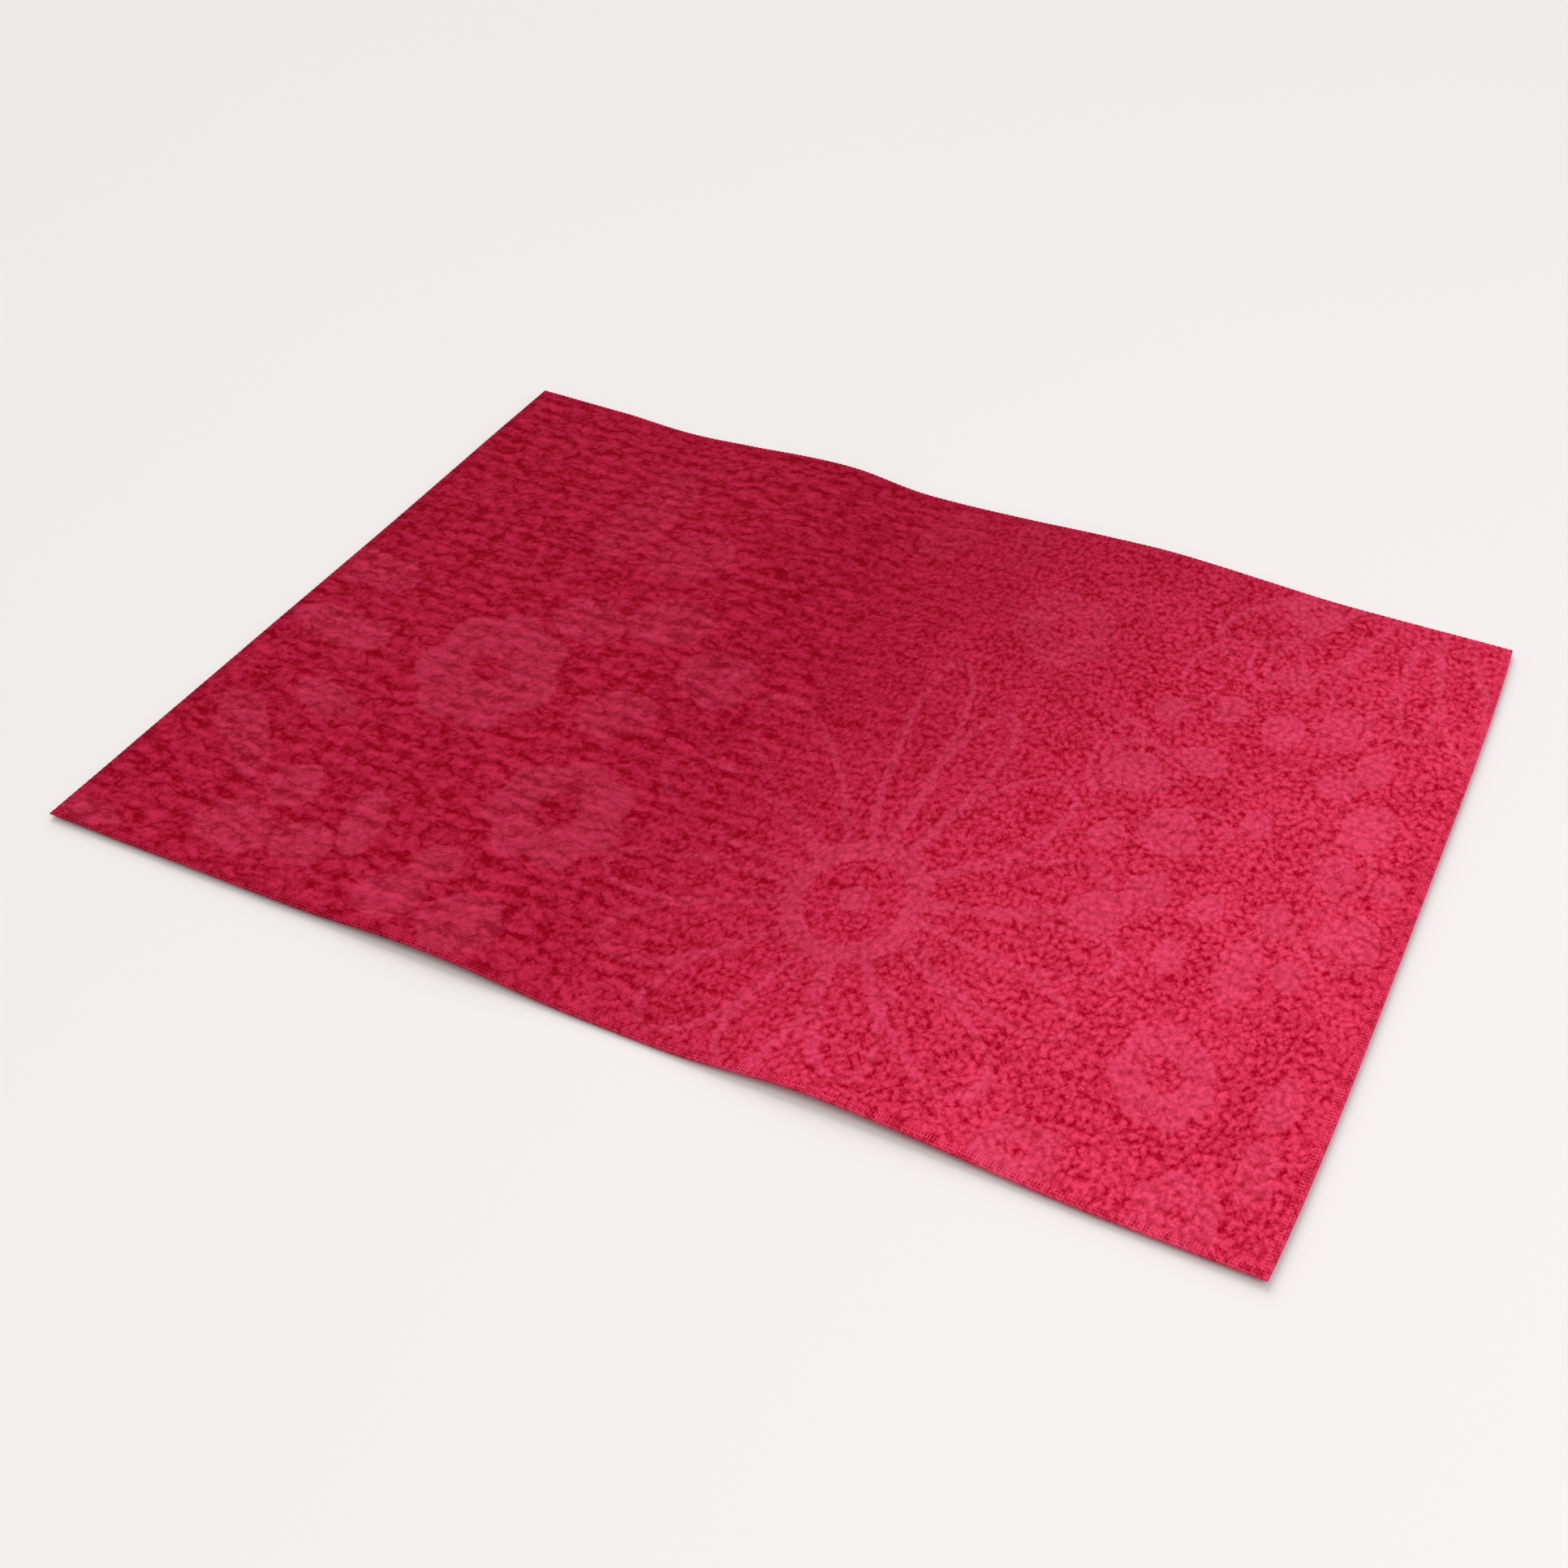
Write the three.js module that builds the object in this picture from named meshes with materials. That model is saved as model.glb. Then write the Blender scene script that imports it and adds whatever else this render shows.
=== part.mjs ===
// A flat cut of woven cotton cloth, lying loose on a level surface.
// It is built the way woven cloth is: an interlaced body, and outside it, along each cut side,
// the last two yarns, which no cut yarn end wraps tightly and which lie free beside the body.
// Units are millimetres. +X runs along the long side, +Y from the front edge to the back, +Z up.
import * as THREE from 'three';

// The cut and its cloth
const cutLength = 305;
const cutDepth = 229;
const clothThick = 0.6;
const rightBow = 1.7; // the right side was cut a little proud of straight at its middle

// The free yarns of the four cut sides
const weftDia = 0.6; // yarns along X are the thicker ones
const warpDia = 0.45; // yarns along Y
const yarnGap = 0.3;
const yarnsPerSide = 2;
const yarnSides = 8;
const yarnEvery = 5; // distance between two stations along a yarn

// Soft folds. Each runs from the front edge to the back edge, as [at the front, at the back].
const folds = [
  { crest: [-47, -46], rise: [0.8, 2.6], reachLeft: [33, 43], reachRight: [45, 28] },
  { crest: [54, 54], rise: [0.9, 2.6], reachLeft: [37, 83], reachRight: [67, 57] },
];

// The rim curls up off the surface by a little, except at the trough between the two folds
const rimLift = [0.6, 0.8]; // at the front, at the back
const rimReach = 22;
const troughX = 10;
const troughReach = 50;
const cornerLift = 0.6; // the back left corner stands up more than the rest of the rim
const cornerReach = 48;

// Where the cut edge is drawn in from straight: by each fold at the front, and once near the back left
const draws = [
  { side: -1, middle: -45, by: 0.9, reachLeft: 42, reachRight: 44 },
  { side: -1, middle: 55, by: 1.8, reachLeft: 38, reachRight: 68 },
  { side: 1, middle: -98, by: 1.3, reachLeft: 26, reachRight: 20 },
];
const drawReach = 60; // how far in from the edge it is felt

// How finely the cloth is divided
const cellsAlong = 72;
const cellsDeep = 20;

// One part in one at the middle, falling smoothly to nothing at a distance of one
const hump = (t) => 0.5 * (1 + Math.cos(Math.PI * Math.min(1, Math.abs(t))));
const blend = ([front, back], share) => front + (back - front) * share;

// How far a point's own side of the cloth has bowed out
function bowAt(x, y) {
  const middle = 1 - (2 * y / cutDepth) ** 4;
  const nearRight = Math.max(0, 2 * x / cutLength) ** 2;
  return rightBow * middle * nearRight;
}

// How far a point is moved in from the cut edge it is near
function drawAt(x, y) {
  let moved = 0;
  for (const draw of draws) {
    const away = x - draw.middle;
    const reach = away < 0 ? draw.reachLeft : draw.reachRight;
    const near = hump((cutDepth / 2 - draw.side * y) / drawReach);
    moved -= draw.side * draw.by * near * hump(away / reach);
  }
  return moved;
}

// Height of the cloth's underside above the surface, at a place on the flat cut
function heightAt(x, y) {
  const share = y / cutDepth + 0.5;
  let height = 0;
  for (const fold of folds) {
    const away = x - blend(fold.crest, share);
    const reach = blend(away < 0 ? fold.reachLeft : fold.reachRight, share);
    height += blend(fold.rise, share) * hump(away / reach);
  }
  const fromSide = cutLength / 2 - Math.abs(x);
  const fromEnd = cutDepth / 2 - Math.abs(y);
  const flatInside = (1 - hump(fromSide / rimReach)) * (1 - hump(fromEnd / rimReach));
  height += blend(rimLift, share) * (1 - flatInside) * (1 - hump((x - troughX) / troughReach));
  const cornerX = hump((x + cutLength / 2) / cornerReach);
  const cornerY = hump((y - cutDepth / 2) / (2 * cornerReach));
  return height + cornerLift * cornerX * cornerY;
}

function meshFrom(name, points, faces, material) {
  const geometry = new THREE.BufferGeometry();
  geometry.setAttribute('position', new THREE.Float32BufferAttribute(points.flat(), 3));
  geometry.setIndex(faces.flat());
  geometry.computeVertexNormals();
  const mesh = new THREE.Mesh(geometry, material);
  mesh.name = name;
  return mesh;
}

const quad = (a, b, c, d) => [[a, b, c], [a, c, d]];

// The interlaced body: an upper and a lower skin joined round the rim
function clothBody(name, halfX, halfY, material) {
  const points = [];
  const faces = [];
  const row = cellsAlong + 1;
  const skin = row * (cellsDeep + 1);
  for (const lift of [0, clothThick]) {
    for (let j = 0; j <= cellsDeep; j += 1) {
      for (let i = 0; i <= cellsAlong; i += 1) {
        const x = halfX * (2 * i / cellsAlong - 1);
        const y = halfY * (2 * j / cellsDeep - 1);
        points.push([x + bowAt(x, y), y + drawAt(x, y), heightAt(x, y) + lift]);
      }
    }
  }
  for (let j = 0; j < cellsDeep; j += 1) {
    for (let i = 0; i < cellsAlong; i += 1) {
      const a = j * row + i;
      const b = a + row;
      faces.push(...quad(a, b, b + 1, a + 1));
      faces.push(...quad(a + skin, a + 1 + skin, b + 1 + skin, b + skin));
    }
  }
  const rim = [];
  for (let i = 0; i < cellsAlong; i += 1) rim.push(i);
  for (let j = 0; j < cellsDeep; j += 1) rim.push(j * row + cellsAlong);
  for (let i = cellsAlong; i > 0; i -= 1) rim.push(cellsDeep * row + i);
  for (let j = cellsDeep; j > 0; j -= 1) rim.push(j * row);
  rim.forEach((a, n) => {
    const b = rim[(n + 1) % rim.length];
    faces.push(...quad(a, b, b + skin, a + skin));
  });
  return meshFrom(name, points, faces, material);
}

// One free yarn: a round section carried along its side of the cut, following the folds
function yarn(name, from, to, diameter, material) {
  const points = [];
  const faces = [];
  const start = new THREE.Vector2(...from);
  const end = new THREE.Vector2(...to);
  const along = end.clone().sub(start).normalize();
  const stations = Math.round(start.distanceTo(end) / yarnEvery);
  for (let s = 0; s <= stations; s += 1) {
    const at = start.clone().lerp(end, s / stations);
    const centreZ = heightAt(at.x, at.y) + Math.max(clothThick, diameter) / 2;
    for (let k = 0; k < yarnSides; k += 1) {
      const angle = 2 * Math.PI * k / yarnSides;
      const out = diameter / 2 * Math.cos(angle);
      const up = diameter / 2 * Math.sin(angle);
      const x = at.x + bowAt(at.x, at.y) - out * along.y;
      points.push([x, at.y + drawAt(at.x, at.y) + out * along.x, centreZ + up]);
    }
  }
  for (let s = 0; s < stations; s += 1) {
    for (let k = 0; k < yarnSides; k += 1) {
      const next = (k + 1) % yarnSides;
      const a = s * yarnSides;
      const b = a + yarnSides;
      faces.push(...quad(a + k, a + next, b + next, b + k));
    }
  }
  const last = stations * yarnSides;
  for (let k = 1; k < yarnSides - 1; k += 1) {
    faces.push([0, k + 1, k], [last, last + k, last + k + 1]);
  }
  return meshFrom(name, points, faces, material);
}

const cotton = (color) => new THREE.MeshStandardMaterial({ color, roughness: 0.9, metalness: 0 });
const printed = cotton(0xb8203f);
const dyedYarn = cotton(0xc72c4c);

const part = new THREE.Group();
part.name = 'cloth_cut';

// Each side gives up its width to the free yarns before the body starts
const weftStep = weftDia + yarnGap;
const warpStep = warpDia + yarnGap;
const bodyX = cutLength / 2 - yarnsPerSide * warpStep;
const bodyY = cutDepth / 2 - yarnsPerSide * weftStep;
part.add(clothBody('woven_body', bodyX, bodyY, printed));

for (let n = 0; n < yarnsPerSide; n += 1) {
  const place = n === 0 ? 'outer' : 'inner';
  const y = cutDepth / 2 - weftDia / 2 - n * weftStep;
  const x = cutLength / 2 - warpDia / 2 - n * warpStep;
  const spanX = cutLength / 2;
  for (const [side, sign] of [['front', -1], ['back', 1]]) {
    part.add(yarn(`weft_${side}_${place}`, [-spanX, sign * y], [spanX, sign * y], weftDia, dyedYarn));
  }
  for (const [side, sign] of [['left', -1], ['right', 1]]) {
    part.add(yarn(`warp_${side}_${place}`, [sign * x, -bodyY], [sign * x, bodyY], warpDia, dyedYarn));
  }
}

export default part;
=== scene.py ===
# %% [markdown]
# # A flat cut of printed cotton
#
# The object is one rectangular cut of woven cotton, dyed raspberry red and printed with paler flowers. It
# lies loose on a table in two soft folds. The solids from the part's source are a fixed frame: they hold
# the size, the folds and the place of every piece. This script builds the cloth that is seen on that
# frame. It could be done by painting a material on the solids, but cloth shows its yarns where it is cut,
# so the sheet, the free yarns and the cut yarn ends are all modelled again as cloth.

# %% Load the frame
import math

import bpy
from mathutils import Matrix, Vector, noise
from mathutils.bvhtree import BVHTree


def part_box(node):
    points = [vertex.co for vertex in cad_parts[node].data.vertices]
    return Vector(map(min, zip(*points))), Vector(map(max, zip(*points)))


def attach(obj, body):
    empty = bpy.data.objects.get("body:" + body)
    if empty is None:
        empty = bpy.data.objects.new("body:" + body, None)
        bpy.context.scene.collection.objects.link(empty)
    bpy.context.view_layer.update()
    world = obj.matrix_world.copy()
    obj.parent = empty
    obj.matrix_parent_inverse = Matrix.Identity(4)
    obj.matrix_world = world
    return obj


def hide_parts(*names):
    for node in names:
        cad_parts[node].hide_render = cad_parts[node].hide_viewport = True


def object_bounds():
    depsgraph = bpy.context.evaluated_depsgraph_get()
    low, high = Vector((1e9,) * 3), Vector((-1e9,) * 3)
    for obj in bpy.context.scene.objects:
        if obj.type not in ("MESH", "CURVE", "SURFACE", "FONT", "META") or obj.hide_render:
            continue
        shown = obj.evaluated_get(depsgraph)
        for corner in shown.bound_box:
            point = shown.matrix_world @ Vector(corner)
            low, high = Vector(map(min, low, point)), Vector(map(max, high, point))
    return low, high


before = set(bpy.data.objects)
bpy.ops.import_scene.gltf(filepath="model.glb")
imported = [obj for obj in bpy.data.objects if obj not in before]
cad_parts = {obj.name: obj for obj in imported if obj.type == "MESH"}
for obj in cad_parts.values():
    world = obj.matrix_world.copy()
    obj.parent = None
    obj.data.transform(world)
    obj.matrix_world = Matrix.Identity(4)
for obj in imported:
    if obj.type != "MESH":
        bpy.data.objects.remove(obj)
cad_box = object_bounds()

MM = 0.001
print("nodes in the frame:", len(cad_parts))

# %% [markdown]
# ## Sizes that come from the frame
#
# The cut's outline is read from the frame's boxes and the place of each free yarn from the end of its
# solid, so nothing has to be fitted by eye. The right-hand side bows out a little. The body's box shows how
# much, because its left side is straight.

# %% Read the sizes
END_SLICE = 1 * MM  # how much of a yarn's end is measured

body_low, body_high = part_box("woven_body")
body_x = -body_low[0]
body_y = body_high[1]
side_bow = body_high[0] - body_x
cut_x = -cad_box[0][0]
cut_y = cad_box[1][1]


def yarn_place(node, axis):
    """How far a free yarn lies from the cut's middle, measured at its end, where it is straight."""
    points = [vertex.co for vertex in bpy.data.objects[node].data.vertices]
    end = min(point[1 - axis] for point in points)
    across = [point[axis] for point in points if point[1 - axis] < end + END_SLICE]
    return abs(min(across) + max(across)) / 2


weft_rows = [yarn_place("weft_front_inner", 1), yarn_place("weft_front_outer", 1)]
warp_rows = [yarn_place("warp_left_inner", 0), yarn_place("warp_left_outer", 0)]
print("free yarns at %.2f and %.2f, %.2f and %.2f mm" % tuple(1000 * row for row in weft_rows + warp_rows))
print("body %.1f x %.1f mm, bow %.2f mm" % (2000 * body_x, 2000 * body_y, 1000 * side_bow))

# %% [markdown]
# ## Short words for the hand tools
#
# Every operator acts on whatever is selected, and the frame arrives selected. These helpers clear the
# selection, take up one piece, and open it in edit mode with all its points selected.

# %% Tool helpers


def take_up(piece):
    """Makes one piece the only selected and active one."""
    if bpy.context.object and bpy.context.object.mode != "OBJECT":
        bpy.ops.object.mode_set(mode="OBJECT")
    bpy.ops.object.select_all(action="DESELECT")
    piece.select_set(True)
    bpy.context.view_layer.objects.active = piece


def start_piece(name):
    """Names the primitive that was just added, and puts its place into its mesh."""
    piece = bpy.context.object
    piece.name = name
    piece.data.name = name
    bpy.ops.object.transform_apply(location=True, rotation=True, scale=True)
    return piece


def edit(piece):
    take_up(piece)
    bpy.ops.object.mode_set(mode="EDIT")
    bpy.ops.mesh.select_mode(type="VERT")
    bpy.ops.mesh.select_all(action="SELECT")


def finish_edit():
    bpy.ops.object.mode_set(mode="OBJECT")


def apply_modifiers(piece):
    take_up(piece)
    for modifier in list(piece.modifiers):
        bpy.ops.object.modifier_apply(modifier=modifier.name)


def triangles(piece):
    return sum(len(face.vertices) - 2 for face in piece.data.polygons)


# %% [markdown]
# ## The fold cage
#
# Every piece of the cloth follows the same folds. They could each be bent by hand, but then the yarns
# would part from the sheet. Instead each piece is made flat, and one lattice, a soft cage of points, bends
# them all. The cage takes its heights from the underside of the frame's body, so the cloth lies where the
# solids lie. Where a fold reaches the front or the back it also draws the cut edge in, by a millimetre or
# two. The frame's boxes don't show those draws, so they are written down here again. A little slow noise
# is added on top, because no real cloth lies as evenly as a drawn one.

# %% Measure the folds and build the cage
body = bpy.data.objects["woven_body"]
body_tree = BVHTree.FromPolygons(
    [vertex.co.copy() for vertex in body.data.vertices],
    [tuple(face.vertices) for face in body.data.polygons],
)
EDGE_KEEP = 0.3 * MM  # how far inside the body's rim a height is measured
RAY_BELOW = 10 * MM  # how far below the table the measuring starts


def bow_at(x, y):
    """How far the right-hand side bows out at a place on the flat cut."""
    middle = 1 - (y / cut_y) ** 4
    return side_bow * middle * max(0, x / cut_x) ** 2


DRAWS = (  # side, then in mm: middle, drawn in by, reach to the left, reach to the right
    (-1, -45, 0.9, 42, 44),
    (-1, 55, 1.8, 38, 68),
    (1, -98, 1.3, 26, 20),
)
DRAW_REACH = 60 * MM  # how far in from the edge it is felt


def hump(share):
    """One at the middle, falling smoothly to nothing at a distance of one."""
    return 0.5 + 0.5 * math.cos(math.pi * min(1, abs(share)))


def draw_at(x, y):
    """How far a place is moved in from the cut edge it is near, where a fold draws the edge in."""
    moved = 0
    for side, middle, by, left, right in DRAWS:
        away = x / MM - middle
        near = hump((cut_y - side * y) / DRAW_REACH)
        moved -= side * by * MM * near * hump(away / (left if away < 0 else right))
    return moved


def fold_height(x, y):
    """The height of the body's underside above the table at a place on the flat cut."""
    x = max(EDGE_KEEP - body_x, min(body_x - EDGE_KEEP, x))
    y = max(EDGE_KEEP - body_y, min(body_y - EDGE_KEEP, y))
    start = Vector((x + bow_at(x, y), y + draw_at(x, y), -RAY_BELOW))
    hit = body_tree.ray_cast(start, Vector((0, 0, 1)))[0]
    return hit.z


PUCKER_HIGH = 0.22 * MM
SLOW_PUCKER = (45 * MM, 70 * MM)  # the size of the slow swells, along and across
QUICK_PUCKER = (18 * MM, 26 * MM)


def swell(x, y, size, slice_at):
    """Soft noise from -1 to 1 whose swells have a given size."""
    return noise.noise(Vector((x / size[0], y / size[1], slice_at)))


def pucker(x, y):
    """A slow unevenness that only lifts the cloth, by up to a few tenths of a millimetre."""
    slow = swell(x, y, SLOW_PUCKER, 3.1)
    quick = swell(x, y, QUICK_PUCKER, 7.7)
    return max(0, PUCKER_HIGH * (slow + 0.45 * quick + 0.5))


CAGE_POINTS = (64, 40, 2)
CAGE_MARGIN = 2.5 * MM
CAGE_HIGH = 6 * MM
bpy.ops.object.select_all(action="DESELECT")
bpy.ops.object.add(type="LATTICE", location=(0, 0, 0))
cage = bpy.context.object
cage.name = "fold_cage"
cage.data.points_u, cage.data.points_v, cage.data.points_w = CAGE_POINTS
cage.data.interpolation_type_u = "KEY_CATMULL_ROM"
cage.data.interpolation_type_v = "KEY_CATMULL_ROM"
cage.data.interpolation_type_w = "KEY_LINEAR"
cage_size = Vector((2 * (cut_x + CAGE_MARGIN), 2 * (cut_y + CAGE_MARGIN), CAGE_HIGH))
cage.scale = cage_size
bpy.context.view_layer.update()
for point in cage.data.points:
    x, y = point.co.x * cage_size.x, point.co.y * cage_size.y
    lift = fold_height(x, y) + pucker(x, y)
    point.co_deform.x += bow_at(x, y) / cage_size.x
    point.co_deform.y += draw_at(x, y) / cage_size.y
    point.co_deform.z += lift / cage_size.z
print("cage points:", len(cage.data.points))


def fold_with_cage(piece):
    """Bends a flat piece into the folds and leaves no modifier on it."""
    modifier = piece.modifiers.new("folds", "LATTICE")
    modifier.object = cage
    apply_modifiers(piece)


# %% [markdown]
# ## The printed sheet
#
# The body of the cloth is one sheet, half a millimetre thick. A plane would do for the picture, but a
# closed sheet has a real cut edge and weighs what it shows. It starts as a grid, whose squares also give
# it a flat map for the print, is stretched to the body's size in edit mode, gets its thickness from
# Solidify, and is bent by the cage.

# %% Model the sheet
SHEET_THICK = 0.5 * MM
SHEET_STEP = 1.6 * MM
RIM_ANGLE = math.radians(40)  # a sharper turn than this stays a hard edge
bpy.ops.object.select_all(action="DESELECT")
bpy.ops.mesh.primitive_grid_add(
    x_subdivisions=round(2 * body_x / SHEET_STEP),
    y_subdivisions=round(2 * body_y / SHEET_STEP),
    size=1,
    calc_uvs=True,
)
sheet = start_piece("printed_sheet")
edit(sheet)
bpy.ops.transform.resize(value=(2 * body_x, 2 * body_y, 1))
finish_edit()
solid = sheet.modifiers.new("thickness", "SOLIDIFY")
solid.thickness = SHEET_THICK
solid.offset = 1
apply_modifiers(sheet)
fold_with_cage(sheet)
take_up(sheet)
bpy.ops.object.shade_smooth_by_angle(angle=RIM_ANGLE)
print("sheet triangles:", triangles(sheet))

# %% [markdown]
# ## The free yarns
#
# The last two yarns along each cut side are held only by the cut ends that cross them. Each goes over one
# end and under the next, so it is wavy, which weavers call crimp. A bent curve would do, but the wave
# repeats exactly, so one repeat is extruded from a ring by hand and an Array carries it along the side.
# The two yarns of a side wave against each other.

# %% Model one free yarn
WEFT_STEP = weft_rows[1] - weft_rows[0]
WARP_STEP = warp_rows[1] - warp_rows[0]
YARN_SIDES = 8
ALONG_X = Vector((1, 0, 0))
ALONG_Y = Vector((0, 1, 0))
RING_TURN = {0: (0, math.pi / 2, 0), 1: (math.pi / 2, 0, 0)}
YARN_MIDDLE = 0.32 * MM  # the height of its middle over the sheet's underside
CRIMP = 0.08 * MM  # how far it waves up and down
SAME_POINT = 0.01 * MM  # points closer than this are one
FLATTEN = 0.6  # a woven yarn's thickness as a share of its width


def flat_ring(name, axis, sides, radius, centre):
    """A ring across an axis, pressed flat as weaving presses a yarn, left open in edit mode."""
    bpy.ops.object.select_all(action="DESELECT")
    bpy.ops.mesh.primitive_circle_add(
        vertices=sides, radius=radius, location=centre, rotation=RING_TURN[axis]
    )
    piece = start_piece(name)
    edit(piece)
    bpy.ops.transform.resize(value=(1, 1, FLATTEN), center_override=centre)
    return piece


def push_ring(step):
    """Extrudes the selected ring and moves the new one by a step."""
    bpy.ops.mesh.extrude_region_move(TRANSFORM_OT_translate={"value": step})


def close_and_face_out(piece):
    """Closes the open ends of a tube and turns its faces outwards."""
    edit(piece)
    bpy.ops.mesh.remove_doubles(threshold=0.1 * SAME_POINT)
    bpy.ops.mesh.select_all(action="DESELECT")
    bpy.ops.mesh.select_non_manifold()
    bpy.ops.mesh.fill_holes(sides=0)
    bpy.ops.mesh.select_all(action="SELECT")
    bpy.ops.mesh.normals_make_consistent(inside=False)
    finish_edit()


def stretch_along(piece, axis, share):
    """Scales a piece along one axis about the middle of the cut, and leaves edit mode."""
    edit(piece)
    bpy.ops.transform.resize(value=(share, 1, 1) if axis == 0 else (1, share, 1), center_override=(0, 0, 0))
    finish_edit()


def repeat_along(piece, step, count):
    """Repeats a piece with an Array whose steps are given as a vector."""
    array = piece.modifiers.new("repeats", "ARRAY")
    array.use_relative_offset = False
    array.use_constant_offset = True
    array.constant_offset_displace = step
    array.count = count
    return array


def free_yarn(name, axis, place, half_length, crossing_step, radius, first):
    """A crimped yarn along an axis, at a place on the other one. It starts over (1) or under (-1)."""
    along = (ALONG_X, ALONG_Y)[axis]
    repeats = round(half_length / crossing_step)
    quarter = along * (crossing_step / 2)
    start = -repeats * crossing_step * along + (ALONG_Y, ALONG_X)[axis] * place
    piece = flat_ring(name, axis, YARN_SIDES, radius, start + Vector((0, 0, YARN_MIDDLE)))
    for rise in (1, -1, -1, 1):
        push_ring(quarter + Vector((0, 0, rise * first * CRIMP)))
    finish_edit()
    array = repeat_along(piece, 4 * quarter, repeats)
    array.use_merge_vertices = True
    array.merge_threshold = SAME_POINT
    apply_modifiers(piece)
    close_and_face_out(piece)
    stretch_along(piece, axis, half_length / (repeats * crossing_step))
    fold_with_cage(piece)
    take_up(piece)
    bpy.ops.object.shade_smooth()
    return piece


# %% Make the eight free yarns
WEFT_RADIUS = 0.41 * MM
WARP_RADIUS = 0.34 * MM
free_yarns = {}
for rank, first in (("inner", 1), ("outer", -1)):
    row = 0 if rank == "inner" else 1
    for side, sign in (("front", -1), ("back", 1)):
        node = f"weft_{side}_{rank}"
        free_yarns[node] = free_yarn(
            f"free_{node}", 0, sign * weft_rows[row], cut_x, WARP_STEP, WEFT_RADIUS, first
        )
    for side, sign in (("left", -1), ("right", 1)):
        node = f"warp_{side}_{rank}"
        free_yarns[node] = free_yarn(
            f"free_{node}", 1, sign * warp_rows[row], cut_y, WEFT_STEP, WARP_RADIUS, first
        )
print("free yarns:", len(free_yarns), "triangles:", [triangles(yarn) for yarn in free_yarns.values()])

# %% [markdown]
# ## The cut yarn ends
#
# Where the shears went, every crossing yarn ends in a short stub that passes the two free yarns, one over
# and one under, and stops just beyond them. There are hundreds, all alike, so a pair of neighbours is
# modelled by extruding two small rings, and an Array repeats the pair along the side. A little noise on
# the tips keeps the edge from looking like a comb.

# %% Model one row of cut ends
END_SIDES = 6
END_ROOT = 0.7 * MM  # how far a stub starts inside the body
END_LEVEL = 0.25 * MM  # how far it runs level outside the body
END_TIP = 0.15 * MM  # how far it passes the outer free yarn
TIP_SHARE = 0.8  # a tip's width as a share of the stub's
RAGGED = 0.14 * MM  # how far the noise moves a tip


def yarn_ends(name, axis, sign, rows, half_length, step, radius):
    """A row of cut ends along an axis, pointing out from it on one side."""
    along = (ALONG_X, ALONG_Y)[axis]
    out = (ALONG_Y, ALONG_X)[axis] * sign
    edge = (body_y, body_x)[axis]
    pairs = round(half_length / step)
    first_place = -pairs * step
    parts = []
    for phase, high in ((0, 1), (1, -1)):
        place = along * (first_place + (0.5 + phase) * step) + out * (edge - END_ROOT)
        part = flat_ring(name, 1 - axis, END_SIDES, radius, place + Vector((0, 0, YARN_MIDDLE)))
        rise = Vector((0, 0, 2 * CRIMP * high))
        push_ring(out * (END_ROOT + END_LEVEL))
        push_ring(out * (rows[0] - edge - END_LEVEL) - rise)
        push_ring(out * (rows[1] - rows[0]) + 2 * rise)
        push_ring(out * END_TIP - rise)
        bpy.ops.transform.resize(value=(TIP_SHARE, TIP_SHARE, TIP_SHARE))
        finish_edit()
        parts.append(part)
    take_up(parts[0])
    parts[1].select_set(True)
    bpy.ops.object.join()
    piece = bpy.context.object
    close_and_face_out(piece)
    repeat_along(piece, along * 2 * step, pairs)
    apply_modifiers(piece)
    stretch_along(piece, axis, half_length / (pairs * step))
    tips = piece.vertex_groups.new(name="tips")
    far = rows[1] + 0.5 * END_TIP
    tip_points = [vertex.index for vertex in piece.data.vertices if vertex.co.dot(out) > far]
    tips.add(tip_points, 1.0, "REPLACE")
    cut_tip = piece.data.attributes.new("cut_tip", "FLOAT", "POINT")
    for index in tip_points:
        cut_tip.data[index].value = 1.0
    ragged = piece.modifiers.new("ragged", "DISPLACE")
    ragged.texture = rough_noise
    ragged.vertex_group = "tips"
    ragged.direction = "YX"[axis]
    ragged.strength = RAGGED
    ragged.mid_level = 0.5
    apply_modifiers(piece)
    fold_with_cage(piece)
    take_up(piece)
    bpy.ops.object.shade_smooth()
    return piece


# %% Make the four rows
WARP_END_RADIUS = 0.36 * MM
WEFT_END_RADIUS = 0.43 * MM
RAGGED_SIZE = 1.1 * MM  # the size of the noise along a row
rough_noise = bpy.data.textures.new("rough_noise", "CLOUDS")
rough_noise.noise_scale = RAGGED_SIZE
rough_noise.intensity = 1.0
end_rows = []
for side, sign in (("front", -1), ("back", 1)):
    end_rows.append(yarn_ends(f"cut_ends_{side}", 0, sign, weft_rows, body_x, WARP_STEP, WARP_END_RADIUS))
for side, sign in (("left", -1), ("right", 1)):
    end_rows.append(yarn_ends(f"cut_ends_{side}", 1, sign, warp_rows, body_y, WEFT_STEP, WEFT_END_RADIUS))
print("cut-end triangles:", [triangles(row) for row in end_rows])
bpy.data.objects.remove(cage)

# %% [markdown]
# ## A short way to write node trees
#
# The dye, the weave and the print are drawn by shader nodes. Written out in full, each node takes several
# lines, so these helpers add one node, fill its inputs with numbers or with other nodes' results, and
# return its result.

# %% Node helpers


def put(tree, kind, values=(), **settings):
    """Adds a node. values maps an input's name or number to a number, a colour or another node's output."""
    node = tree.nodes.new(kind)
    for name, value in settings.items():
        setattr(node, name, value)
    for key, value in dict(values).items():
        if isinstance(value, bpy.types.NodeSocket):
            tree.links.new(value, node.inputs[key])
        else:
            node.inputs[key].default_value = value
    return node


def maths(tree, operation, *values, clamp=False):
    node = put(tree, "ShaderNodeMath", enumerate(values), operation=operation, use_clamp=clamp)
    return node.outputs[0]


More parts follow.
